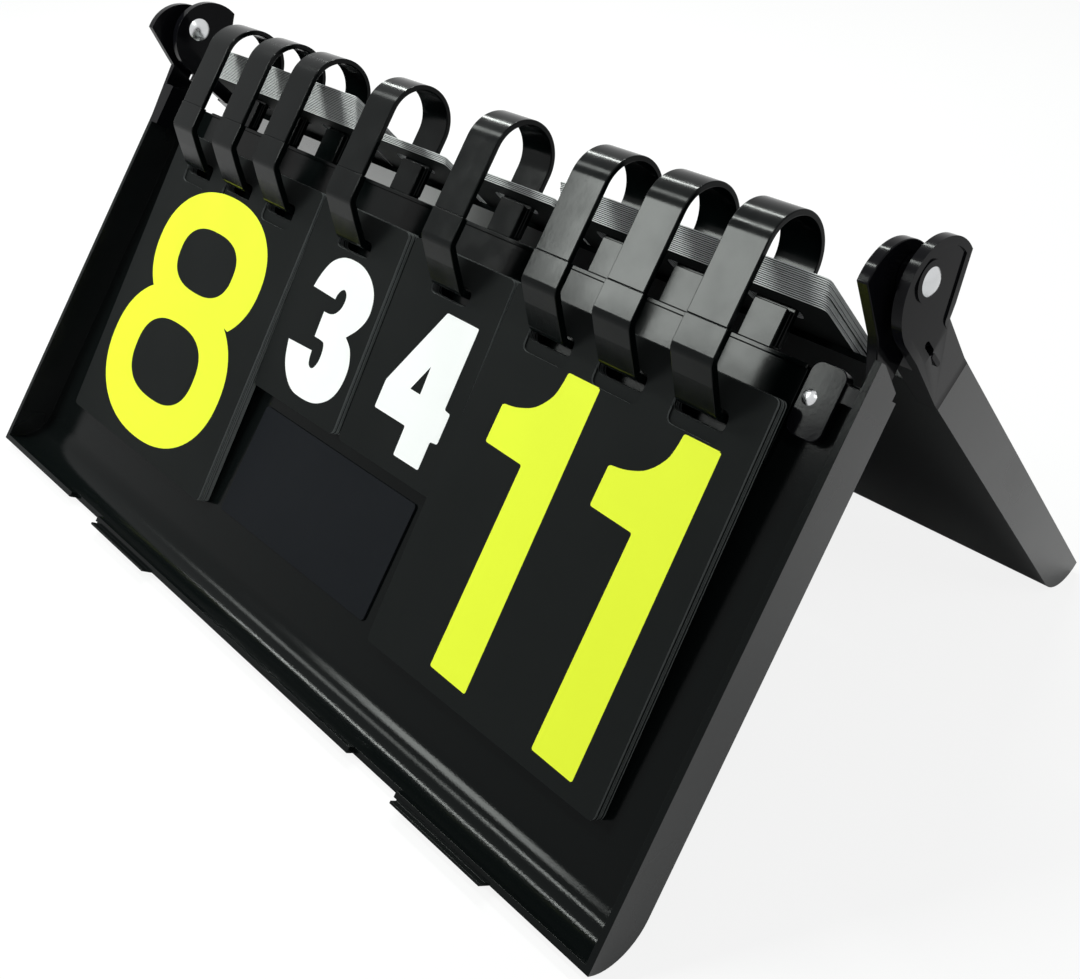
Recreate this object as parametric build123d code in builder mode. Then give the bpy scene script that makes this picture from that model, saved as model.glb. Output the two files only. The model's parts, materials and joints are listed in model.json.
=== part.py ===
"""Tabletop flip scoreboard: two shallow trays hinged at the top into an A-frame,
eight hoops on a bar along the front tray, and four sets of number sheets."""
from build123d import *
from math import atan2, cos, degrees, radians, sin
import os

# ---- driving dimensions, in millimetres ----
board_width = 385.0        # over the two side walls
pivot_up = 202.4           # bottom edge of a tray to the pivot, along the slope
tray_depth = 16.4          # outside of the back panel to the rim
rim_gap = 0.3              # between the two rims when the case is shut
open_angle = 76.2          # between the trays when the board stands
bottom_round = 16.0        # the round that each tray stands on
wall = 2.2
floor = 2.0
panel_top = 171.2          # top end of the back panel
wall_top = 178.6           # top end of the full side wall, at the rim
wall_step = 2.4            # small shoulder where that end meets the panel
seat_height = 157.0        # where the short side wall ends and the outer arm sits

# latch tongues and finger notches on the bottom rim
tongues = ((-99.0, -55.0), (107.0, 150.0))
notches = ((-125.0, -100.5), (80.0, 105.5))
notch_depth = 2.6
tongue_proud = 1.2
tongue_bevel = 0.8
tongue_reach = 2.4
tongue_root = 3.2
tongue_clear = 0.3

# hinge arms
outer_plate = 3.2          # an outer arm's plate
inner_plate = 3.5          # an inner arm's plate
arm_boss = 3.4             # spacer round the pivot, between the two plates
boss_radius = 6.0
arm_proud = 3.0            # head of an outer arm beyond the side wall
arm_gap = 0.3              # between the boss and the inner arm
base_thick = 6.6           # outer arm where it sits on the side wall
head_radius = 16.5
head_drop = 7.4            # middle of the head below the pivot, along the slope
chin_up = 193.8            # corner of the head on the open side
neck_up = 183.7            # where the head leaves the rim
base_swing = 27.4          # the thick base stays clear of the other arm by this
joggle_start = 3.0         # the outer arm's step outwards starts this far above its seat
joggle_length = 26.0
field_rim = 2.4            # flat rim round the sunk field of an outer arm
field_deep = 0.5
eye_up = 184.0             # small hole through an outer arm
eye_out = 6.2
eye_length = 6.0
eye_width = 2.2
bead_up = 177.6            # raised bead below that hole
bead_length = 6.0
bead_width = 1.6
bead_sunk = 0.45           # its face below the head's outer face
foot_width = 12.0          # riveted foot of an inner arm
foot_side = 5.5            # between the foot and the arm's plate
foot_thick = 4.0
foot_low = 151.9
foot_high = 173.9
foot_round = 3.5
bridge_low = 165.0         # the foot's bridge to the plate
bridge_thick = 3.0
web_height = 6.0           # an inner arm's plate beside its foot
web_top = 171.5
foot_rivet_up = 163.2
foot_rivet_in = 8.6        # from the foot's outer end
pin_radius = 2.4
pin_clear = 0.05
rivet_head = 4.1
rivet_dome = 1.6
set_head = 4.8             # the rivet's other end, on the inner arm
set_dome = 1.8
small_rivet = 1.4
small_head = 2.4
small_dome = 1.0
head_flat = 0.45           # flat middle of a rivet's head, as a share of its radius

# ring bar and rings
bar_end = 26.5             # from the bar to the board's side
bar_low = 141.0
bar_lip = 0.4              # bar beyond the end of the back panel
bar_thick = 2.6
bar_bevel = 1.0
ledge_height = 1.4
ledge_thick = 0.9
post_width = 12.4
post_back = -1.2
post_front = 3.8
post_root = 1.0
post_clear = 0.35          # under the sheets that hang on the rings
strap_width = 15.2
strap_thick = 2.0
loop_radius = 14.4         # outside of the hoop
loop_out = 28.4            # front face of the strap, from the panel plane
loop_centre_up = 196.2
seam_up = 170.4            # where hoop and hook meet
hook_thick = 2.6
hook_width = 15.8
hook_bends = ((160.4, 27.1), (154.9, 21.8), (147.9, 14.5))
hook_radius = 3.0

# number sheets
side_space = 25.0          # between the outer sheets and the board's side
big_height = 129.5
small_width = 54.0
small_height = 78.0
small_middle = 29.0        # middle of a small sheet, from the centre line
sheet_space = 1.5          # between neighbouring sheets
ring_pitch = 32.0
card_top_up = 159.5        # top edge of the front sheets
card_top_out = 13.2        # their face at that edge
card_thick = 0.8
front_pack = 4.0
away_back_pack = 9.6
home_back_pack = 6.8
small_back_pack = 2.2
back_top_up = 193.6        # top edge of the innermost sheet that is flipped over
back_shift = 0.95          # how far each further sheet lies up, per millimetre of the pile
slot_length = 20.4
slot_height = 6.4
slot_bevel = 1.9           # the slots' ends, in flats
slot_down = 12.2           # slot's middle below the top edge
back_slot_up = 183.6       # slots of the flipped sheets, round the hoops
sheet_corner = 1.5         # bevel of the sheets' corners
sheet_clear = 0.1

# bare name plate
plate_width = 96.0
plate_height = 44.0
plate_low = 32.0
plate_thick = 0.8
plate_corner = 0.9         # bevel of its corners

# ---- places worked out from those sizes ----
lean = radians(open_angle / 2)
pivot_out = tray_depth + rim_gap / 2
pivot_height = (
    (pivot_up - bottom_round) * cos(lean) + (pivot_out - bottom_round) * sin(lean) + bottom_round
)
half_width = board_width / 2
arm_outside = half_width + arm_proud
inner_outside = arm_outside - outer_plate - arm_boss - arm_gap
bar_half = half_width - bar_end
bar_top = panel_top + bar_lip
big_inside = small_middle + small_width / 2 + sheet_space
big_width = half_width - side_space - big_inside
big_middle = big_inside + big_width / 2
big_slots = (-ring_pitch, 0, ring_pitch)
small_slots = (0,)
sets = {
    "away_score": (-big_middle, big_width, big_height, away_back_pack, big_slots),
    "away_games": (-small_middle, small_width, small_height, small_back_pack, small_slots),
    "home_games": (small_middle, small_width, small_height, small_back_pack, small_slots),
    "home_score": (big_middle, big_width, big_height, home_back_pack, big_slots),
}


def tray_plane(side):
    """Face plane of a tray: x along the board, y up the slope, z out of the open side."""
    up = Vector(0, side * sin(lean), cos(lean))
    out = Vector(0, -side * cos(lean), sin(lean))
    corner = Vector(0, 0, pivot_height) - up * pivot_up - out * pivot_out
    return Plane(origin=corner, x_dir=(side, 0, 0), z_dir=out)


def end_plane(tray, x):
    """Plane square to the board's length: x up the slope, y out of the tray."""
    return Plane(origin=tray.from_local_coords((x, 0, 0)), x_dir=tray.y_dir, z_dir=tray.x_dir)


def hang_plane(height, pack):
    """Plane of a sheet's back: its foot rests on the tray floor and its top leans out."""
    foot_out = floor + sheet_clear
    tilt = atan2(card_top_out - foot_out - pack, height)
    foot = front.from_local_coords((0, card_top_up - height, foot_out))
    return Plane(origin=foot, x_dir=(1, 0, 0), z_dir=front.z_dir.rotate(Axis.X, degrees(tilt)))


front = tray_plane(1)
rear = tray_plane(-1)
ring_middles = sorted(middle + place for middle, _, _, _, slots in sets.values() for place in slots)
os.makedirs("parts", exist_ok=True)


def save(part, label):
    part.label = label
    export_step(part, f"parts/{label}.step")


# ---- trays: one moulding, turned about the upright axis for the rear ----
def tray_shell(tray):
    inner_round = bottom_round - wall
    with BuildPart() as shell:
        with BuildSketch(end_plane(tray, -half_width)):
            with BuildLine():
                Line((bottom_round, 0), (panel_top, 0))
                Line((panel_top, 0), (panel_top, wall_step))
                Line((panel_top, wall_step), (panel_top + wall_step, wall_step))
                Line((panel_top + wall_step, wall_step), (wall_top, tray_depth - wall_step))
                Line((wall_top, tray_depth - wall_step), (wall_top, tray_depth))
                Line((wall_top, tray_depth), (0, tray_depth))
                Line((0, tray_depth), (0, bottom_round))
                RadiusArc((0, bottom_round), (bottom_round, 0), -bottom_round)
            make_face()
        extrude(amount=board_width)
        # the open inside, with a cove along the bottom
        with BuildSketch(end_plane(tray, -half_width + wall)):
            with BuildLine():
                Line((bottom_round, floor), (wall_top + wall, floor))
                Line((wall_top + wall, floor), (wall_top + wall, tray_depth + wall))
                Line((wall_top + wall, tray_depth + wall), (wall, tray_depth + wall))
                Line((wall, tray_depth + wall), (wall, bottom_round))
                RadiusArc((wall, bottom_round), (bottom_round, floor), -inner_round)
            make_face()
        extrude(amount=board_width - 2 * wall, mode=Mode.SUBTRACT)
        # corner left out for the outer arm
        with BuildSketch(tray.offset(-wall)):
            with Locations((-half_width - wall, seat_height)):
                Rectangle(base_thick + wall, wall_top, align=(Align.MIN, Align.MIN))
        extrude(amount=tray_depth + 2 * wall, mode=Mode.SUBTRACT)
        # finger notches in the bottom rim
        for low, high in notches:
            with BuildSketch(tray.offset(tray_depth - notch_depth)):
                with Locations(((low + high) / 2, 0)):
                    Rectangle(high - low, 2 * wall + 1)
            extrude(amount=notch_depth + 1, mode=Mode.SUBTRACT)
        # latch tongues that lap over the other rim
        for low, high in tongues:
            with BuildSketch(end_plane(tray, low)):
                with BuildLine():
                    Polyline(
                        (wall, tray_depth - tongue_root),
                        (-tongue_proud + tongue_bevel, tray_depth - tongue_root),
                        (-tongue_proud, tray_depth - tongue_root + tongue_bevel),
                        (-tongue_proud, tray_depth + tongue_reach),
                        (-tongue_clear, tray_depth + tongue_reach),
                        (-tongue_clear, tray_depth),
                        (wall, tray_depth),
                        close=True,
                    )
                make_face()
            extrude(amount=high - low)
    return shell.part


save(tray_shell(front), "front_tray")
save(tray_shell(rear), "rear_tray")


# ---- hinge arms ----
head_up = pivot_up - head_drop
head_out = head_radius     # the head is round and ends flush with the back panel
chin_out = head_out + (head_radius**2 - (chin_up - head_up) ** 2) ** 0.5


def head_outline(low, rim):
    """Side view of an arm's head: across is up the slope, up is out of the tray."""
    with BuildSketch() as outline:
        with BuildLine():
            Polyline((head_up, 0), (low, 0), (low, rim), (neck_up, tray_depth), (chin_up, chin_out))
            RadiusArc((chin_up, chin_out), (head_up + head_radius, head_out), head_radius)
            RadiusArc((head_up + head_radius, head_out), (head_up, 0), head_radius)
        make_face()
    return outline.sketch


def outer_arm(tray):
    joggle_low = seat_height + joggle_start
    joggle_high = joggle_low + joggle_length
    with BuildPart() as arm:
        with BuildSketch(end_plane(tray, -arm_outside)):
            add(head_outline(seat_height, tray_depth))
        extrude(amount=arm_proud + base_thick)
        # inside, only the base keeps its full thickness
        with BuildSketch(end_plane(tray, -arm_outside + outer_plate)):
            with Locations((pivot_up, pivot_out)):
                Circle(base_swing)
        extrude(amount=base_thick + arm_proud, mode=Mode.SUBTRACT)
        with BuildSketch(end_plane(tray, -arm_outside + outer_plate)):
            with Locations((pivot_up, pivot_out)):
                Circle(boss_radius)
        extrude(amount=arm_boss)
        # sunk field with a flat rim, on the head's outer face
        with BuildSketch(end_plane(tray, -arm_outside)):
            add(offset(head_outline(neck_up - joggle_length / 2, tray_depth), -field_rim))
            with Locations((pivot_up, pivot_out)):
                Circle(boss_radius, mode=Mode.SUBTRACT)
        extrude(amount=field_deep, mode=Mode.SUBTRACT)
        # joggle: the base is flush with the wall, the head stands proud
        with BuildSketch(tray.offset(-1)):
            with BuildLine():
                Polyline(
                    (-arm_outside - 1, seat_height - 1),
                    (-half_width, seat_height - 1),
                    (-half_width, joggle_low),
                    (-arm_outside, joggle_high),
                    (-arm_outside - 1, joggle_high),
                    close=True,
                )
            make_face()
        extrude(amount=2 * tray_depth, mode=Mode.SUBTRACT)
        with BuildSketch(end_plane(tray, -arm_outside + bead_sunk)):
            with Locations((bead_up, eye_out)):
                SlotOverall(bead_length, bead_width)
        extrude(amount=outer_plate / 2)
        with BuildSketch(end_plane(tray, -arm_outside - 1)):
            with Locations((pivot_up, pivot_out)):
                Circle(pin_radius + pin_clear)
            with Locations((eye_up, eye_out)):
                SlotOverall(eye_length, eye_width)
        extrude(amount=arm_proud + base_thick + 1, mode=Mode.SUBTRACT)
    return arm.part


def inner_arm(tray):
    plate_inside = inner_outside - inner_plate
    foot_outer = plate_inside - foot_side
    with BuildPart() as arm:
        with BuildSketch(end_plane(tray, plate_inside)):
            add(head_outline(web_top, web_height))
            with BuildLine():
                Polyline(
                    (foot_low, floor), (web_top, floor), (web_top, web_height), (foot_low, web_height),
                    close=True,
                )
            make_face()
            with Locations((pivot_up, pivot_out)):
                Circle(pin_radius + pin_clear, mode=Mode.SUBTRACT)
        extrude(amount=inner_plate)
        # riveted foot on the tray floor, with a lower bridge to the plate
        with BuildSketch(tray.offset(floor)):
            with Locations((foot_outer - foot_width, foot_low)):
                Rectangle(foot_width, foot_high - foot_low, align=(Align.MIN, Align.MIN))
            fillet(vertices(), foot_round)
        extrude(amount=foot_thick)
        with BuildSketch(tray.offset(floor)):
            with Locations((foot_outer - foot_round, bridge_low)):
                Rectangle(
                    foot_side + foot_round + inner_plate / 2, foot_high - foot_round - bridge_low,
                    align=(Align.MIN, Align.MIN),
                )
        extrude(amount=bridge_thick)
        with BuildSketch(tray.offset(floor)):
            with Locations((foot_outer - foot_rivet_in, foot_rivet_up)):
                Circle(small_rivet + pin_clear)
        extrude(amount=foot_thick, mode=Mode.SUBTRACT)
        # nothing of it lies under the level of the tray floor up to the panel's end
        with BuildSketch(end_plane(tray, foot_outer - foot_width - 1)):
            with Locations((foot_low - 1, -1)):
                Rectangle(panel_top - foot_low + 1, floor + 1, align=(Align.MIN, Align.MIN))
        extrude(amount=arm_outside, mode=Mode.SUBTRACT)
    return arm.part


for name, tray in (("front", front), ("rear", rear)):
    save(outer_arm(tray), f"{name}_outer_arm")
    save(inner_arm(tray), f"{name}_inner_arm")


# ---- rivets ----
def head_points(head, dome):
    """Profile of a rivet's head from its middle to its rim: (height, radius)."""
    return [(dome, 0), (dome, head_flat * head), (0, head)]


def pivot_rivet(side):
    """Rivet through both arms: x of its plane runs outwards from the inner arm's inner face."""
    under_set = inner_outside - inner_plate
    grip = arm_outside - under_set
    plane = Plane(origin=(side * under_set, 0, pivot_height), x_dir=(side, 0, 0), z_dir=(0, 1, 0))
    outer_head = [(grip + up, away) for up, away in head_points(rivet_head, rivet_dome)]
    inner_head = [(-up, away) for up, away in reversed(head_points(set_head, set_dome))]
    with BuildPart() as pin:
        with BuildSketch(plane):
            with BuildLine():
                Polyline(*outer_head, (grip, pin_radius), (0, pin_radius), *inner_head, close=True)
            make_face()
        revolve(axis=Axis(plane.origin, plane.x_dir))
    return pin.part


def foot_rivet(tray):
    """Small rivet that ends flush under the inner arm's foot."""
    across = inner_outside - inner_plate - foot_side - foot_rivet_in
    under = tray.from_local_coords((across, foot_rivet_up, floor))
    head = [(foot_thick + up, away) for up, away in head_points(small_head, small_dome)]
    with BuildPart() as pin:
        with BuildSketch(Plane(origin=under, x_dir=tray.z_dir, z_dir=tray.x_dir)):
            with BuildLine():
                Polyline(*head, (foot_thick, small_rivet), (0, small_rivet), (0, 0), close=True)
            make_face()
        revolve(axis=Axis(under, tray.z_dir))
    return pin.part


save(pivot_rivet(-1), "left_pivot_rivet")
save(pivot_rivet(1), "right_pivot_rivet")
save(foot_rivet(front), "front_foot_rivet")
save(foot_rivet(rear), "rear_foot_rivet")


# ---- ring bar: a strip on the tray floor, behind the sheets' top edges ----
bar_face = floor + bar_thick
with BuildPart() as bar:
    with BuildSketch(end_plane(front, -bar_half)):
        with BuildLine():
            Polyline(
                (bar_low, floor),
                (panel_top, floor),
                (panel_top, post_back),
                (bar_top, post_back),
                (bar_top, bar_face + ledge_thick),
                (bar_top - ledge_height, bar_face + ledge_thick),
                (bar_top - ledge_height, bar_face),
                (bar_low + bar_bevel, bar_face),
                (bar_low, bar_face - bar_bevel),
                close=True,
            )
        make_face()
    extrude(amount=2 * bar_half)
save(bar.part, "ring_bar")


# ---- rings: a hoop that stands on its post, and a hook that carries the front sheets ----
def on_front(up, out):
    """A point of the rear tray's side view, given in the front tray's side view."""
    place = front.to_local_coords(rear.from_local_coords((0, up, out)))
    return place.Y, place.Z


def post_top(out):
    """Height of a post's sloping top, just under the flipped sheets."""
    under = floor + sheet_clear - post_clear
    (up_1, out_1), (up_2, out_2) = on_front(panel_top, under), on_front(pivot_up, under)
    return up_1 + (out - out_1) * (up_2 - up_1) / (out_2 - out_1)


strap_back = loop_out - strap_thick
leg_back = loop_out - 2 * loop_radius
leg_front = leg_back + strap_thick
loop_middle = loop_out - loop_radius
leg_foot = bar_top + post_root
hook_mid = loop_out - hook_thick / 2
hook_path = [
    (seam_up, hook_mid), (hook_bends[0][0], hook_mid), *hook_bends[1:], (hook_bends[-1][0], bar_face)
]
for number, middle in enumerate(ring_middles, start=1):
    with BuildPart() as hoop:
        with BuildSketch(end_plane(front, middle - strap_width / 2)):
            with BuildLine():
                Line((leg_foot, leg_back), (loop_centre_up, leg_back))
                ThreePointArc(
                    (loop_centre_up, leg_back),
                    (loop_centre_up + loop_radius, loop_middle),
                    (loop_centre_up, loop_out),
                )
                Polyline(
                    (loop_centre_up, loop_out),
                    (seam_up, loop_out),
                    (seam_up, strap_back),
                    (loop_centre_up, strap_back),
                )
                ThreePointArc(
                    (loop_centre_up, strap_back),
                    (loop_centre_up + loop_radius - strap_thick, loop_middle),
                    (loop_centre_up, leg_front),
                )
                Polyline((loop_centre_up, leg_front), (leg_foot, leg_front), (leg_foot, leg_back))
            make_face()
        extrude(amount=strap_width)
        with BuildSketch(end_plane(front, middle - post_width / 2)):
            with BuildLine():
                Polyline(
                    (bar_top, post_back),
                    (bar_top, post_front),
                    (post_top(post_front), post_front),
                    (post_top(post_back), post_back),
                    close=True,
                )
            make_face()
        extrude(amount=post_width)
    save(hoop.part, f"ring_hoop_{number}")
    with BuildPart() as hook:
        with BuildSketch(end_plane(front, middle - hook_width / 2)):
            with BuildLine():
                FilletPolyline(*hook_path, radius=hook_radius)
            trace(line_width=hook_thick)
        extrude(amount=hook_width)
    save(hook.part, f"ring_hook_{number}")


# ---- number sheets ----
def sheets(plane, size, slot_up, slots, thickness, shift=0.0):
    """A pile of sheets on its plane, its foot at the plane's origin; shift makes it lean up."""
    width, height = size
    lean_dir = plane.z_dir + plane.y_dir * shift
    with BuildPart() as pile:
        with BuildSketch(plane):
            with Locations((0, height / 2)):
                Rectangle(width, height)
            chamfer(vertices(), sheet_corner)
        extrude(amount=thickness * lean_dir.length, dir=lean_dir)
        with BuildSketch(plane):
            with Locations([(place, slot_up) for place in slots]):
                Rectangle(slot_length, slot_height)
            chamfer(vertices(), slot_bevel)
        extrude(amount=thickness, mode=Mode.SUBTRACT)
    return pile.part


def beside(plane, x):
    return Plane(origin=plane.from_local_coords((x, 0, 0)), x_dir=plane.x_dir, z_dir=plane.z_dir)


for name, (middle, width, height, back_pack, slots) in sets.items():
    size = (width, height)
    back = hang_plane(height, front_pack + sheet_clear + card_thick)
    hole = height - slot_down
    save(sheets(beside(back, middle), size, hole, slots, front_pack), f"{name}_front_sheets")
    top = back.offset(front_pack + sheet_clear)
    save(sheets(beside(top, middle), size, hole, slots, card_thick), f"{name}_top_sheet")
    foot = rear.from_local_coords((-middle, back_top_up - height, floor + sheet_clear))
    turned = Plane(origin=foot, x_dir=rear.x_dir, z_dir=rear.z_dir)
    hole = height - (back_top_up - back_slot_up)
    flipped = sheets(turned, size, hole, slots, back_pack, back_shift)
    save(flipped, f"{name}_flipped_sheets")


# ---- bare name plate on the front tray's floor ----
with BuildPart() as plate:
    with BuildSketch(front.offset(floor)):
        with Locations((0, plate_low + plate_height / 2)):
            Rectangle(plate_width, plate_height)
        chamfer(vertices(), plate_corner)
    extrude(amount=plate_thick)
save(plate.part, "name_plate")
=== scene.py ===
import bmesh
import bpy
import json
import math
import random
from mathutils import Matrix, Vector


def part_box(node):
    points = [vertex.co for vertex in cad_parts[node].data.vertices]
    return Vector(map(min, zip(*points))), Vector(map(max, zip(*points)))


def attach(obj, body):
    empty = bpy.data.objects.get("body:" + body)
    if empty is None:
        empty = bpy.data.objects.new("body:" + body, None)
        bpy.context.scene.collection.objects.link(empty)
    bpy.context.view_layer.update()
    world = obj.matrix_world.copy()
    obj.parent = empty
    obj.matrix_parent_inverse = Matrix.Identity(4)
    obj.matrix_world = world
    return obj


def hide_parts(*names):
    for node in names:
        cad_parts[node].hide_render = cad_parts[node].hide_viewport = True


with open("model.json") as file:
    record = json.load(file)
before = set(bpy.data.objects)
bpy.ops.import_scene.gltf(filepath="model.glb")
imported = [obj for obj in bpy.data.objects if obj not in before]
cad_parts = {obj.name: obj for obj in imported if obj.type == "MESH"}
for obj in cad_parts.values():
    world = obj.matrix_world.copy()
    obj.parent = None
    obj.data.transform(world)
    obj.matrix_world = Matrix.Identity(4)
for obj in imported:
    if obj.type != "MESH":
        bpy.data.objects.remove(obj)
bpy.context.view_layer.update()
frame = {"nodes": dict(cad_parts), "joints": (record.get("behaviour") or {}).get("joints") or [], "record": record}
nodes = frame["nodes"]
mm = 0.001

# the board's own places: millimetres up the slope of a tray and out from its back panel
board = {"pivotUp": 202.4, "pivotOut": 16.55, "lean": 38.1, "floorOut": 2.0}
pivotHeight = [joint for joint in frame["joints"] if joint["name"] == "case_fold"][0]["pos_m"][2]
leanSin = math.sin(math.radians(board["lean"]))
leanCos = math.cos(math.radians(board["lean"]))


def deselectAll():
    if bpy.context.object and bpy.context.object.mode != "OBJECT":
        bpy.ops.object.mode_set(mode="OBJECT")
    bpy.ops.object.select_all(action="DESELECT")


def makeActive(obj):
    deselectAll()
    obj.select_set(True)
    bpy.context.view_layer.objects.active = obj


def trayMatrix(side, x, up, out):
    # side 1 is the front tray, -1 the rear one, whose x runs the other way
    upDir = Vector((0, side * leanSin, leanCos))
    outDir = Vector((0, -side * leanCos, leanSin))
    spot = Vector((side * x * mm, 0, pivotHeight))
    spot += upDir * (up - board["pivotUp"]) * mm + outDir * (out - board["pivotOut"]) * mm
    turn = Matrix((Vector((side, 0, 0)), upDir, outDir)).transposed().to_4x4()
    return Matrix.Translation(spot) @ turn


def settle(obj, place, name, body, material=None):
    # puts a finished piece at its place, with the place in its mesh
    obj.matrix_world = place
    obj.name = name
    obj.data.name = name
    makeActive(obj)
    bpy.ops.object.transform_apply(location=True, rotation=True, scale=True)
    if material:
        obj.data.materials.append(material)
    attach(obj, body)
    return obj


# ---- materials ----
def startMaterial(name, colour, settings):
    material = bpy.data.materials.new(name)
    material.use_nodes = True
    tree = material.node_tree
    shader = tree.nodes["Principled BSDF"]
    shader.inputs["Base Color"].default_value = (*colour, 1)
    for socket, value in settings.items():
        shader.inputs[socket].default_value = value
    return material, tree, shader


def objectCoords(tree, scale=(1, 1, 1), turn=(0, 0, 0)):
    coords = tree.nodes.new("ShaderNodeTexCoord")
    mapping = tree.nodes.new("ShaderNodeMapping")
    mapping.inputs["Scale"].default_value = scale
    mapping.inputs["Rotation"].default_value = turn
    tree.links.new(coords.outputs["Object"], mapping.inputs["Vector"])
    return mapping.outputs["Vector"]


def noiseFrom(tree, vector, scale, detail=4, rough=0.5):
    noise = tree.nodes.new("ShaderNodeTexNoise")
    noise.inputs["Scale"].default_value = scale
    noise.inputs["Detail"].default_value = detail
    noise.inputs["Roughness"].default_value = rough
    tree.links.new(vector, noise.inputs["Vector"])
    return noise.outputs["Fac"]


def rangeFrom(tree, value, low, high, fromLow=0.35, fromHigh=0.65):
    remap = tree.nodes.new("ShaderNodeMapRange")
    remap.inputs["From Min"].default_value = fromLow
    remap.inputs["From Max"].default_value = fromHigh
    remap.inputs["To Min"].default_value = low
    remap.inputs["To Max"].default_value = high
    tree.links.new(value, remap.inputs["Value"])
    return remap.outputs["Result"]


def bumpFrom(tree, shader, height, strength, distance):
    bump = tree.nodes.new("ShaderNodeBump")
    bump.inputs["Strength"].default_value = strength
    bump.inputs["Distance"].default_value = distance
    tree.links.new(height, bump.inputs["Height"])
    tree.links.new(bump.outputs["Normal"], shader.inputs["Normal"])
    return bump


def mouldedPlastic(name, look):
    # injection-moulded black plastic: faint waviness, uneven polish and fine grain
    material, tree, shader = startMaterial(name, look["colour"], {
        "Specular IOR Level": look["specular"], "Coat Weight": look["coat"], "Coat Roughness": 0.05})
    coords = objectCoords(tree)
    broad = noiseFrom(tree, coords, look["waveScale"], 3)
    fine = noiseFrom(tree, coords, look["grainScale"], 6, 0.6)
    tree.links.new(rangeFrom(tree, broad, look["rough"][0], look["rough"][1]), shader.inputs["Roughness"])
    grain = bumpFrom(tree, shader, fine, look["grain"], 0.0002)
    wave = tree.nodes.new("ShaderNodeBump")
    wave.inputs["Strength"].default_value = look["wave"]
    wave.inputs["Distance"].default_value = 0.001
    tree.links.new(broad, wave.inputs["Height"])
    tree.links.new(wave.outputs["Normal"], grain.inputs["Normal"])
    return material


plasticLooks = {
    "casePlastic": {"colour": (0.003, 0.004, 0.004), "specular": 0.07, "coat": 0.0, "rough": (0.08, 0.13),
                    "waveScale": 28, "grainScale": 1800, "grain": 0.12, "wave": 0.02},
    # a lighter, more reflective copy of the case plastic for the outer side faces: painted sheen
    "caseSidePaintedSheen": {"colour": (0.006, 0.007, 0.007), "specular": 0.5, "coat": 0.0, "rough": (0.2, 0.3),
                 "waveScale": 28, "grainScale": 1800, "grain": 0.08, "wave": 0.02},
    "armPlastic": {"colour": (0.003, 0.003, 0.004), "specular": 0.07, "coat": 0.0, "rough": (0.1, 0.17),
                   "waveScale": 60, "grainScale": 900, "grain": 0.04, "wave": 0.03},
    "ringPlastic": {"colour": (0.001, 0.002, 0.002), "specular": 0.1, "coat": 0.0, "rough": (0.12, 0.18),
                    "waveScale": 90, "grainScale": 700, "grain": 0.03, "wave": 0.04},
}
plastics = {name: mouldedPlastic(name, look) for name, look in plasticLooks.items()}


def sheetVinyl(name, colour, rough):
    material, tree, shader = startMaterial(name, colour, {"Specular IOR Level": 0.03, "Roughness": rough})
    coords = objectCoords(tree)
    fine = noiseFrom(tree, coords, 2600, 4, 0.7)
    broad = noiseFrom(tree, coords, 24, 3)
    tree.links.new(rangeFrom(tree, broad, rough - 0.06, rough + 0.06), shader.inputs["Roughness"])
    bumpFrom(tree, shader, fine, 0.2, 0.0001)
    return material


def printedInk(name, colour):
    material, tree, shader = startMaterial(name, colour, {"Specular IOR Level": 0.2, "Roughness": 0.6})
    coords = objectCoords(tree)
    fine = noiseFrom(tree, coords, 2200, 4, 0.7)
    bumpFrom(tree, shader, fine, 0.12, 0.0001)
    return material


sheetBlack = sheetVinyl("sheetBlack", (0.009, 0.010, 0.010), 0.6)
# the sheets' narrow edges have one colour in two copies: a darker one, painted shade, on the hanging sheets, and a
# much lighter one, painted light, on the flipped pile
sheetEdgeShaded = sheetVinyl("sheetEdgeShaded", (0.16, 0.17, 0.17), 0.5)
pileEdgeLit = sheetVinyl("pileEdgeLit", (0.6, 0.61, 0.61), 0.5)
plateBlack = sheetVinyl("plateBlack", (0.008, 0.009, 0.011), 0.55)
limeInk = printedInk("limeInk", (0.76, 0.87, 0.03))
whiteInk = printedInk("whiteInk", (0.86, 0.86, 0.86))

rivetSteel, rivetTree, rivetShader = startMaterial("rivetSteel", (0.6, 0.61, 0.62), {
    "Metallic": 1.0, "Roughness": 0.26})
rivetNoise = noiseFrom(rivetTree, objectCoords(rivetTree), 900, 4)
bumpFrom(rivetTree, rivetShader, rivetNoise, 0.1, 0.0002)
print("materials made")

finishes = {
    "case_plastic": plastics["casePlastic"],
    "arm_plastic": plastics["armPlastic"],
    "ring_plastic": plastics["ringPlastic"],
    "sheet_vinyl": sheetBlack,
    "plate_vinyl": plateBlack,
    "rivet_steel": rivetSteel,
}
slotOf = {row["node"]: row["material_slot"] for row in frame["record"]["subparts"]}
for nodeName, obj in nodes.items():
    obj.data.materials.clear()
    obj.data.materials.append(finishes[slotOf[nodeName]])

# ---- mouldings: the CAD forms with their edges rounded off ----
bodyOf = {node: body for body, members in frame["record"]["behaviour"]["bodies"].items() for node in members}
edgeRounds = {"tray": 0.4, "arm": 0.45, "ring_hoop": 0.35, "ring_hook": 0.3, "ring_bar": 0.3, "name_plate": 0.15}


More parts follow.
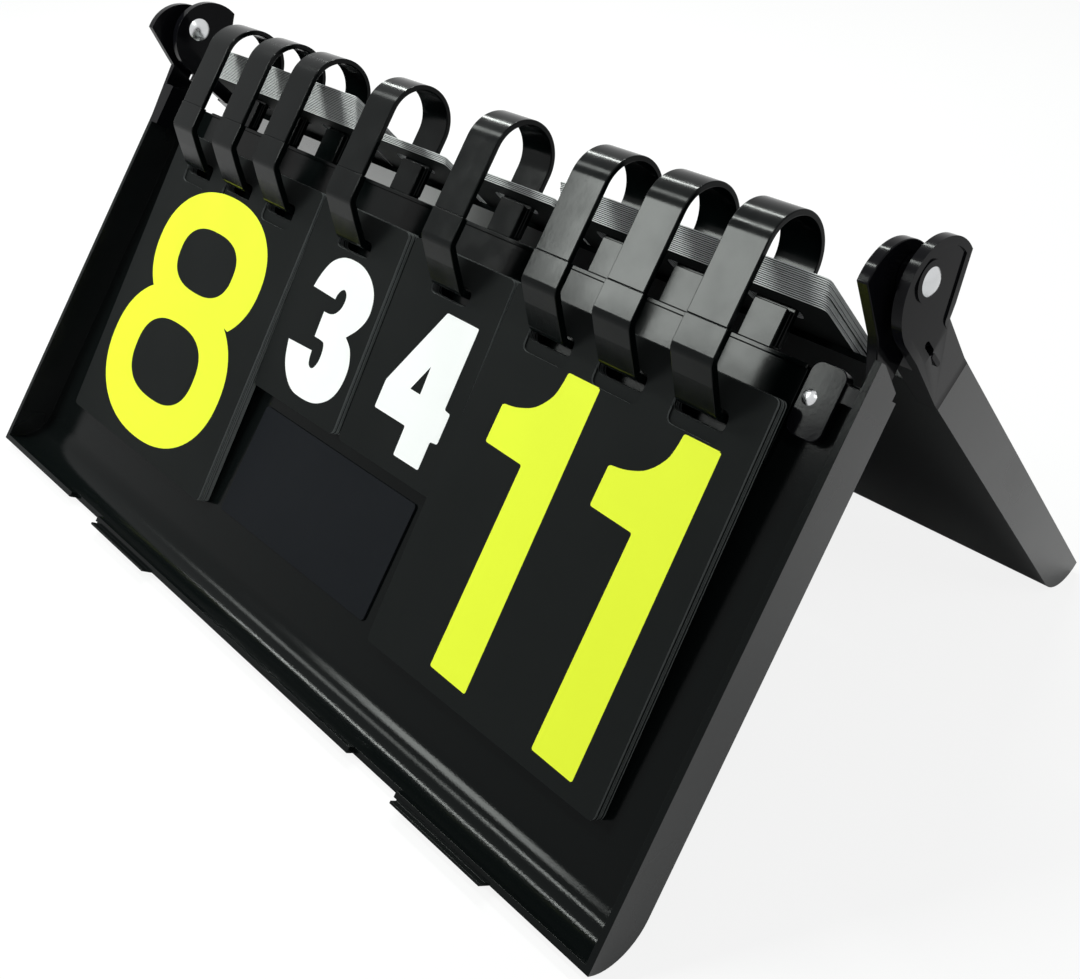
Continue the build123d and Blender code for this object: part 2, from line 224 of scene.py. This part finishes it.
def softCopy(nodeName, width):
    obj = bpy.data.objects.new(nodeName + "Soft", nodes[nodeName].data.copy())
    bpy.context.collection.objects.link(obj)
    makeActive(obj)
    bpy.ops.object.mode_set(mode="EDIT")
    bpy.ops.mesh.select_all(action="SELECT")
    bpy.ops.mesh.remove_doubles(threshold=0.000002)
    bpy.ops.mesh.dissolve_limited(angle_limit=math.radians(0.5))
    bpy.ops.mesh.select_all(action="SELECT")
    bpy.ops.mesh.normals_make_consistent(inside=False)
    bpy.ops.object.mode_set(mode="OBJECT")
    bpy.ops.object.shade_smooth_by_angle(angle=math.radians(32))
    bevel = obj.modifiers.new("edgeRound", "BEVEL")
    bevel.width = width * mm
    bevel.segments = 3
    bevel.limit_method = "ANGLE"
    bevel.angle_limit = math.radians(32)
    bpy.ops.object.modifier_apply(modifier="edgeRound")
    bpy.ops.object.shade_smooth_by_angle(angle=math.radians(50))
    # flat faces keep their own direction, and only the narrow rounds turn the light
    flatten = obj.modifiers.new("flatFaces", "WEIGHTED_NORMAL")
    flatten.weight = 100
    flatten.keep_sharp = True
    bpy.ops.object.modifier_apply(modifier="flatFaces")
    if "tray" in nodeName:
        # the outsides of the side walls take a lighter, more reflective and rougher copy of the case plastic: a
        # painted sheen on the faces that look sideways
        obj.data.materials.append(plastics["caseSidePaintedSheen"])
        for face in obj.data.polygons:
            if abs(face.normal.x) > 0.99 and abs(face.center.x) > 0.19:
                face.material_index = 1
    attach(obj, bodyOf[nodeName])
    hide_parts(nodeName)
    return obj


for nodeName in sorted(nodes):
    for word, width in edgeRounds.items():
        if word in nodeName and "rivet" not in nodeName:
            softCopy(nodeName, width)
            break
print("mouldings rounded")


# ---- rivets: turned with true domes ----
rivets = {"pinRadius": 2.4, "outerHead": 4.1, "outerDome": 1.6, "setHead": 4.8, "setDome": 1.8,
          "footPin": 1.4, "footHead": 2.4, "footDome": 1.0, "footGrip": 4.0, "footAcross": 171.0, "footUp": 163.2}


def domeProfile(head, dome, steps=10):
    # height and radius from the tip to the rim
    ball = (head**2 + dome**2) / (2 * dome)
    half = math.asin(head / ball)
    turns = [half * step / steps for step in range(steps + 1)]
    return [(ball * math.cos(turn) - ball + dome, ball * math.sin(turn)) for turn in turns]


def lathe(name, profile, place, body, nodeName):
    form = bmesh.new()
    line = [form.verts.new((radius * mm, 0, height * mm)) for height, radius in profile]
    edges = [form.edges.new(pair) for pair in zip(line, line[1:])]
    bmesh.ops.spin(form, geom=line + edges, axis=(0, 0, 1), cent=(0, 0, 0), angle=math.tau, steps=56)
    bmesh.ops.remove_doubles(form, verts=form.verts, dist=0.000002)
    bmesh.ops.recalc_face_normals(form, faces=form.faces)
    mesh = bpy.data.meshes.new(name)
    form.to_mesh(mesh)
    form.free()
    obj = bpy.data.objects.new(name, mesh)
    bpy.context.collection.objects.link(obj)
    settle(obj, place, name, body, rivetSteel)
    bpy.ops.object.shade_smooth_by_angle(angle=math.radians(35))
    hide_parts(nodeName)


for side, name in ((-1, "left_pivot_rivet"), (1, "right_pivot_rivet")):
    low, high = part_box(name)
    grip = (high.x - low.x) / mm - rivets["outerDome"] - rivets["setDome"]
    inside = low.x + rivets["setDome"] * mm if side > 0 else high.x - rivets["setDome"] * mm
    profile = [(-height, radius) for height, radius in domeProfile(rivets["setHead"], rivets["setDome"])]
    profile += [(0, rivets["pinRadius"]), (grip, rivets["pinRadius"])]
    profile += [(grip + height, radius) for height, radius in
                reversed(domeProfile(rivets["outerHead"], rivets["outerDome"]))]
    turn = Matrix.Rotation(side * math.pi / 2, 4, "Y")
    place = Matrix.Translation((inside, (low.y + high.y) / 2, (low.z + high.z) / 2)) @ turn
    lathe(name + "Turned", profile, place, bodyOf[name], name)
for side, name in ((1, "front_foot_rivet"), (-1, "rear_foot_rivet")):
    profile = [(0, 0), (0, rivets["footPin"]), (rivets["footGrip"], rivets["footPin"])]
    profile += [(rivets["footGrip"] + height, radius) for height, radius in
                reversed(domeProfile(rivets["footHead"], rivets["footDome"]))]
    place = trayMatrix(side, rivets["footAcross"], rivets["footUp"], board["floorOut"])
    lathe(name + "Turned", profile, place, bodyOf[name], name)
print("rivets turned")

# ---- number sheets, one by one ----
sheetSets = {
    "away_score": {"middle": -112.5, "width": 110.0, "height": 129.5, "backPack": 9.6, "slots": (-32, 0, 32)},
    "away_games": {"middle": -29.0, "width": 54.0, "height": 78.0, "backPack": 2.2, "slots": (0,)},
    "home_games": {"middle": 29.0, "width": 54.0, "height": 78.0, "backPack": 2.2, "slots": (0,)},
    "home_score": {"middle": 112.5, "width": 110.0, "height": 129.5, "backPack": 6.8, "slots": (-32, 0, 32)},
}
hang = {"topUp": 159.5, "topOut": 13.2, "footOut": 2.1, "frontPack": 4.0, "gap": 0.1, "sheetThick": 0.8}
sheetForm = {"corner": 2.2, "slotLength": 20.4, "slotHeight": 6.4, "slotDown": 12.2, "layer": 0.45, "share": 0.8,
             "legRoom": 4.0,
             "backTopUp": 193.6, "backShift": 0.95, "backSlotUp": 183.6, "sideways": 0.3, "upDown": 0.15}


def hangMatrix(x, height, out):
    # a leaning sheet's own plane: y up from its foot, z out of its back face
    pack = hang["frontPack"] + hang["gap"] + hang["sheetThick"]
    tilt = math.atan2(hang["topOut"] - hang["footOut"] - pack, height)
    foot = trayMatrix(1, x, hang["topUp"] - height, hang["footOut"])
    return foot @ Matrix.Rotation(tilt, 4, "X") @ Matrix.Translation((0, 0, out * mm))


def roundedLoop(points, radius, steps=5):
    loop = []
    for index, point in enumerate(points):
        corner = Vector(point)
        before = Vector(points[index - 1]) - corner
        after = Vector(points[(index + 1) % len(points)]) - corner
        start = corner + before.normalized() * min(radius, before.length / 2.1)
        stop = corner + after.normalized() * min(radius, after.length / 2.1)
        for step in range(steps + 1):
            share = step / steps
            loop.append(start * (1 - share)**2 + corner * 2 * share * (1 - share) + stop * share**2)
    return loop


def boxLoop(x, y, width, height, radius):
    w, h = width / 2, height / 2
    return roundedLoop([(x - w, y - h), (x + w, y - h), (x + w, y + h), (x - w, y + h)], radius)


def flatForm(name, loops, thickness):
    # a filled outline with its holes, made a mesh; thickness both ways from its plane
    curve = bpy.data.curves.new(name, "CURVE")
    curve.dimensions = "2D"
    curve.fill_mode = "BOTH"
    curve.extrude = thickness * mm / 2
    for loop in loops:
        spline = curve.splines.new("POLY")
        spline.points.add(len(loop) - 1)
        for point, spot in zip(spline.points, loop):
            point.co = (spot[0] * mm, spot[1] * mm, 0, 1)
        spline.use_cyclic_u = True
    obj = bpy.data.objects.new(name, curve)
    bpy.context.collection.objects.link(obj)
    makeActive(obj)
    bpy.ops.object.convert(target="MESH")
    return bpy.context.object


def sheetForms(name, spec, slotUps, outs, ups, thickness, rng, room=0):
    # sheets of one pile in its own plane, joined; their narrow sides take the second material;
    # room makes the slots longer towards the foot
    made = []
    for count, (slotUp, out, up) in enumerate(zip(slotUps, outs, ups)):
        loops = [boxLoop(0, spec["height"] / 2, spec["width"], spec["height"], sheetForm["corner"])]
        loops += [boxLoop(place, slotUp - room / 2, sheetForm["slotLength"], sheetForm["slotHeight"] + room,
                          sheetForm["slotHeight"] * 0.48) for place in spec["slots"]]
        obj = flatForm(f"{name}{count}", loops, thickness)
        obj.data.materials.append(sheetBlack)
        # the narrow sides first get the darker copy of the edge colour, which is painted shade
        obj.data.materials.append(sheetEdgeShaded)
        for face in obj.data.polygons:
            face.material_index = 0 if abs(face.normal.z) > 0.5 else 1
        slide = rng.uniform(-1, 1) * sheetForm["sideways"] if len(outs) > 1 else 0
        lift = rng.uniform(0, 1) * sheetForm["upDown"] if len(outs) > 1 else 0
        obj.data.transform(Matrix.Translation((slide * mm, (up + lift) * mm, out * mm)))
        made.append(obj)
    deselectAll()
    for obj in made:
        obj.select_set(True)
    bpy.context.view_layer.objects.active = made[0]
    if len(made) > 1:
        bpy.ops.object.join()
    return made[0]


def layersOf(pack):
    count = round(pack / sheetForm["layer"])
    return [pack * (index + 0.5) / count for index in range(count)], pack / count * sheetForm["share"]


for setName, spec in sheetSets.items():
    rng = random.Random(setName)
    slotUp = spec["height"] - sheetForm["slotDown"]
    outs, thick = layersOf(hang["frontPack"])
    pile = sheetForms(setName + "Front", spec, [slotUp] * len(outs), outs, [0] * len(outs), thick, rng)
    settle(pile, hangMatrix(spec["middle"], spec["height"], 0), setName + "FrontPile", "root")
    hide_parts(setName + "_front_sheets")
    topOut = hang["frontPack"] + hang["gap"] + hang["sheetThick"] / 2
    top = sheetForms(setName + "Top", spec, [slotUp], [topOut], [0], hang["sheetThick"], rng,
                     sheetForm["legRoom"] if len(spec["slots"]) > 1 else 0)
    settle(top, hangMatrix(spec["middle"], spec["height"], 0), setName + "TopSheet", setName + "_card")
    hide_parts(setName + "_top_sheet")
    outs, thick = layersOf(spec["backPack"])
    ups = [sheetForm["backShift"] * out for out in outs]
    low = sheetForm["backTopUp"] - spec["height"]
    pile = sheetForms(setName + "Back", spec, [sheetForm["backSlotUp"] - low - up for up in ups], outs, ups,
                      thick, rng)
    # the flipped pile's edges take the lighter copy of the edge colour: painted light on edges that face up
    pile.data.materials[1] = pileEdgeLit
    settle(pile, trayMatrix(-1, -spec["middle"], low, hang["footOut"]), setName + "FlippedPile",
           "flipped_sheets")
    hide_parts(setName + "_flipped_sheets")
print("sheets made")


# ---- printed numbers: millimetres along the board and up a sheet from its foot ----
def lobe(centre, radii, power, start, stop, count=60):
    points = []
    for step in range(count + 1):
        angle = math.radians(start + (stop - start) * step / count)
        across, up = math.cos(angle), math.sin(angle)
        points.append((centre[0] + radii[0] * math.copysign(abs(across)**(2 / power), across),
                       centre[1] + radii[1] * math.copysign(abs(up)**(2 / power), up)))
    return points


def softLine(points, count=5):
    # a smooth line through the points
    spots = [Vector(points[0])] + [Vector(point) for point in points] + [Vector(points[-1])]
    line = []
    for a, b, c, d in zip(spots, spots[1:], spots[2:], spots[3:]):
        for step in range(count):
            t = step / count
            line.append(0.5 * (2 * b + (c - a) * t + (2 * a - 5 * b + 4 * c - d) * t**2
                               + (3 * b - a - 3 * c + d) * t**3))
    return line + [spots[-1]]


eight = [
    lobe((-112.5, 83.8), (40.8, 28.9), 2.2, -42.5, 222.5) + lobe((-114.3, 38.0), (45.0, 33.0), 2.2, 129, 411),
    lobe((-113.5, 83.5), (21.3, 13.3), 2.5, 0, 354),
    lobe((-114.8, 38.9), (24.5, 16.7), 2.5, 0, 354),
]
one = [roundedLoop([(107.5, 110.2), (93.2, 110.2), (92.8, 106.8)], 0.9)[:12]
       + softLine([(92.8, 106.8), (91.2, 101.3), (86.2, 95.8), (79.5, 93.0), (73.4, 92.0)])
       + roundedLoop([(72.5, 91.8), (72.0, 78.3), (90.3, 77.5), (88.3, 6.7), (106.2, 6.3), (107.5, 110.2)], 0.9)[3:33]]
three = [
    softLine([(-42.8, 44.9), (-40.9, 50.7), (-37.6, 56.2), (-32.0, 59.6), (-25.3, 60.4), (-18.7, 59.6),
              (-12.6, 56.8), (-8.1, 52.3), (-6.4, 46.8), (-7.0, 42.3), (-9.8, 37.9), (-14.2, 33.7)])
    + softLine([(-14.2, 33.7), (-9.8, 30.7), (-7.0, 25.7), (-6.4, 20.7), (-7.6, 14.6), (-11.4, 9.6),
                (-18.1, 6.2), (-26.4, 5.4), (-33.1, 6.2), (-38.7, 9.6), (-43.1, 15.1), (-45.6, 22.6)])
    + softLine([(-30.0, 23.1), (-29.6, 20.1), (-28.7, 17.9), (-27.0, 17.1), (-25.3, 17.9), (-24.0, 20.7),
                (-23.9, 24.6), (-24.8, 27.3), (-26.4, 28.1), (-31.4, 28.3)])
    + softLine([(-31.4, 38.3), (-27.9, 38.4), (-24.8, 39.6), (-22.6, 42.3), (-22.0, 45.7), (-22.8, 47.9),
                (-24.6, 49.0), (-26.4, 48.1), (-27.6, 46.2), (-27.9, 44.3)]),
]
four = [
    roundedLoop([(31.7, 58.6), (48.7, 58.4), (47.6, 28.8), (50.8, 28.4), (50.3, 17.2), (46.7, 16.8), (46.3, 6.2),
                 (32.2, 6.2), (32.4, 17.1), (14.2, 17.3), (14.6, 27.9)], 0.8),
    roundedLoop([(33.7, 39.6), (33.7, 29.2), (28.0, 29.3)], 0.4),
]
eleven = {"step": (49.6, -0.8)}
prints = {
    "away_score": [("eight", eight, (0, 0), limeInk)],
    "away_games": [("three", three, (0, 0), whiteInk)],
    "home_games": [("four", four, (0, 0), whiteInk)],
    "home_score": [("oneLeft", one, (0, 0), limeInk), ("oneRight", one, eleven["step"], limeInk)],
}
for setName, figures in prints.items():
    outside = hang["frontPack"] + hang["gap"] + hang["sheetThick"] + 0.03
    for figure, loops, shift, ink in figures:
        obj = flatForm(figure, loops, 0.04)
        place = hangMatrix(0, sheetSets[setName]["height"], outside)
        place = place @ Matrix.Translation((shift[0] * mm, shift[1] * mm, 0))
        settle(obj, place, f"{setName}_{figure}", setName + "_card", ink)
print("numbers printed")

# ---- floor, light and camera ----
deselectAll()
bpy.ops.mesh.primitive_plane_add(size=12, location=(0, 0, -0.0002))
floorPlane = bpy.context.object
floorPlane.name = "studioFloor"
floorMaterial, floorTree, floorShader = startMaterial("paleFloor", (0.86, 0.86, 0.86), {"Roughness": 0.9})
floorShader.inputs["Specular IOR Level"].default_value = 0.0
floorOut = floorTree.nodes["Material Output"]
seen = floorTree.nodes.new("ShaderNodeLightPath")
glow = floorTree.nodes.new("ShaderNodeEmission")
mixer = floorTree.nodes.new("ShaderNodeMixShader")
anyRay = floorTree.nodes.new("ShaderNodeMath")
anyRay.operation = "MAXIMUM"
glossOrClear = floorTree.nodes.new("ShaderNodeMath")
glossOrClear.operation = "MAXIMUM"
floorTree.links.new(seen.outputs["Is Glossy Ray"], glossOrClear.inputs[0])
floorTree.links.new(seen.outputs["Is Transmission Ray"], glossOrClear.inputs[1])
# the camera sees it nearly white; what mirrors it also sees the dark close to the board
nearBoard = floorTree.nodes.new("ShaderNodeAmbientOcclusion")
nearBoard.inputs["Distance"].default_value = 0.22
deeper = floorTree.nodes.new("ShaderNodeMath")
deeper.operation = "POWER"
deeper.inputs[1].default_value = 2.2
floorTree.links.new(nearBoard.outputs["AO"], deeper.inputs[0])
for ray, socket, amount in ((seen.outputs["Is Camera Ray"], 0, 0.86), (glossOrClear.outputs[0], 1, 0.9)):
    share = floorTree.nodes.new("ShaderNodeMath")
    share.operation = "MULTIPLY"
    share.inputs[1].default_value = amount
    floorTree.links.new(ray, share.inputs[0])
    floorTree.links.new(share.outputs[0], anyRay.inputs[socket])
    if socket:
        inOpen = floorTree.nodes.new("ShaderNodeMath")
        inOpen.operation = "MULTIPLY"
        floorTree.links.new(share.outputs[0], inOpen.inputs[0])
        floorTree.links.new(deeper.outputs[0], inOpen.inputs[1])
        floorTree.links.new(inOpen.outputs[0], anyRay.inputs[socket])
floorTree.links.new(anyRay.outputs[0], mixer.inputs[0])
floorTree.links.new(floorShader.outputs[0], mixer.inputs[1])
floorTree.links.new(glow.outputs[0], mixer.inputs[2])
floorTree.links.new(mixer.outputs[0], floorOut.inputs["Surface"])
floorPlane.data.materials.append(floorMaterial)

world = bpy.data.worlds.new("studio")
bpy.context.scene.world = world
world.use_nodes = True
worldTree = world.node_tree
fill = worldTree.nodes["Background"]
fill.inputs["Color"].default_value = (0.95, 0.97, 1.0, 1)
fill.inputs["Strength"].default_value = 0.24
backdrop = worldTree.nodes.new("ShaderNodeBackground")
backdrop.inputs["Color"].default_value = (1, 1, 1, 1)
backdrop.inputs["Strength"].default_value = 1.0
worldRays = worldTree.nodes.new("ShaderNodeLightPath")
worldMix = worldTree.nodes.new("ShaderNodeMixShader")
worldAny = worldTree.nodes.new("ShaderNodeMath")
worldAny.operation = "MAXIMUM"
worldClear = worldTree.nodes.new("ShaderNodeMath")
worldClear.operation = "MAXIMUM"
worldTree.links.new(worldRays.outputs["Is Glossy Ray"], worldClear.inputs[0])
worldTree.links.new(worldRays.outputs["Is Transmission Ray"], worldClear.inputs[1])
worldTree.links.new(worldRays.outputs["Is Camera Ray"], worldAny.inputs[0])
worldTree.links.new(worldClear.outputs[0], worldAny.inputs[1])
worldTree.links.new(worldAny.outputs[0], worldMix.inputs[0])
worldTree.links.new(fill.outputs[0], worldMix.inputs[1])
worldTree.links.new(backdrop.outputs[0], worldMix.inputs[2])
worldTree.links.new(worldMix.outputs[0], worldTree.nodes["World Output"].inputs["Surface"])

# one broad lamp, and narrow ones that run with the board for its long fine highlights
lamps = {
    "keyLamp": {"spot": (-0.6, -0.68, 0.82), "size": (0.34, 0.26), "power": 7.6},
    "coveStrip": {"spot": (-0.55, 0.42, 0.96), "size": (0.9, 0.05), "power": 9},
    "coveSoft": {"spot": (-0.85, -0.22, 1.1), "size": (0.56, 0.15), "power": 3.0},
    "rimStrip": {"spot": (-0.47, -0.27, 1.12), "size": (0.26, 0.05), "power": 2.6},
    "sideStrip": {"spot": (0.85, -0.25, 1.1), "size": (0.6, 0.08), "power": 2.5},
}
aim = Vector((0, 0, 0.09))
for name, lamp in lamps.items():
    data = bpy.data.lights.new(name, "AREA")
    data.shape = "RECTANGLE"
    data.size, data.size_y = lamp["size"]
    data.energy = lamp["power"]
    data.color = (0.95, 1.0, 0.96)
    light = bpy.data.objects.new(name, data)
    bpy.context.collection.objects.link(light)
    away = (Vector(lamp["spot"]) - aim).normalized()
    along = (Vector((1, 0, 0)) - away * away.x).normalized()
    light.matrix_world = (Matrix.Translation(lamp["spot"])
                          @ Matrix((along, away.cross(along), away)).transposed().to_4x4())

shot = {"spot": (362.3, -269.9, 147.2), "azimuth": 48.05, "elevation": 29.94, "roll": -2.15,
        "focalPixels": 1317.9, "centre": (586.9, 390.3), "frame": (1080, 979)}
azimuth, elevation, roll = (math.radians(shot[key]) for key in ("azimuth", "elevation", "roll"))
back = Vector((math.sin(azimuth) * math.cos(elevation), -math.cos(azimuth) * math.cos(elevation),
               math.sin(elevation)))
level = Vector((math.cos(azimuth), math.sin(azimuth), 0))
above = back.cross(level)
right = level * math.cos(roll) + above * math.sin(roll)
upward = above * math.cos(roll) - level * math.sin(roll)
cameraData = bpy.data.cameras.new("camera")
camera = bpy.data.objects.new("camera", cameraData)
bpy.context.collection.objects.link(camera)
camera.matrix_world = (Matrix.Translation(Vector(shot["spot"]) * mm + Vector((0, 0, pivotHeight)))
                       @ Matrix((right, upward, back)).transposed().to_4x4())
cameraData.sensor_fit = "HORIZONTAL"
cameraData.sensor_width = 36
cameraData.lens = 36 * shot["focalPixels"] / shot["frame"][0]
cameraData.shift_x = (shot["frame"][0] / 2 - shot["centre"][0]) / shot["frame"][0]
cameraData.shift_y = (shot["centre"][1] - shot["frame"][1] / 2) / shot["frame"][0]
cameraData.clip_start = 0.01
bpy.context.scene.camera = camera
bpy.context.scene.view_settings.view_transform = "Standard"
print("stage, light and camera set")
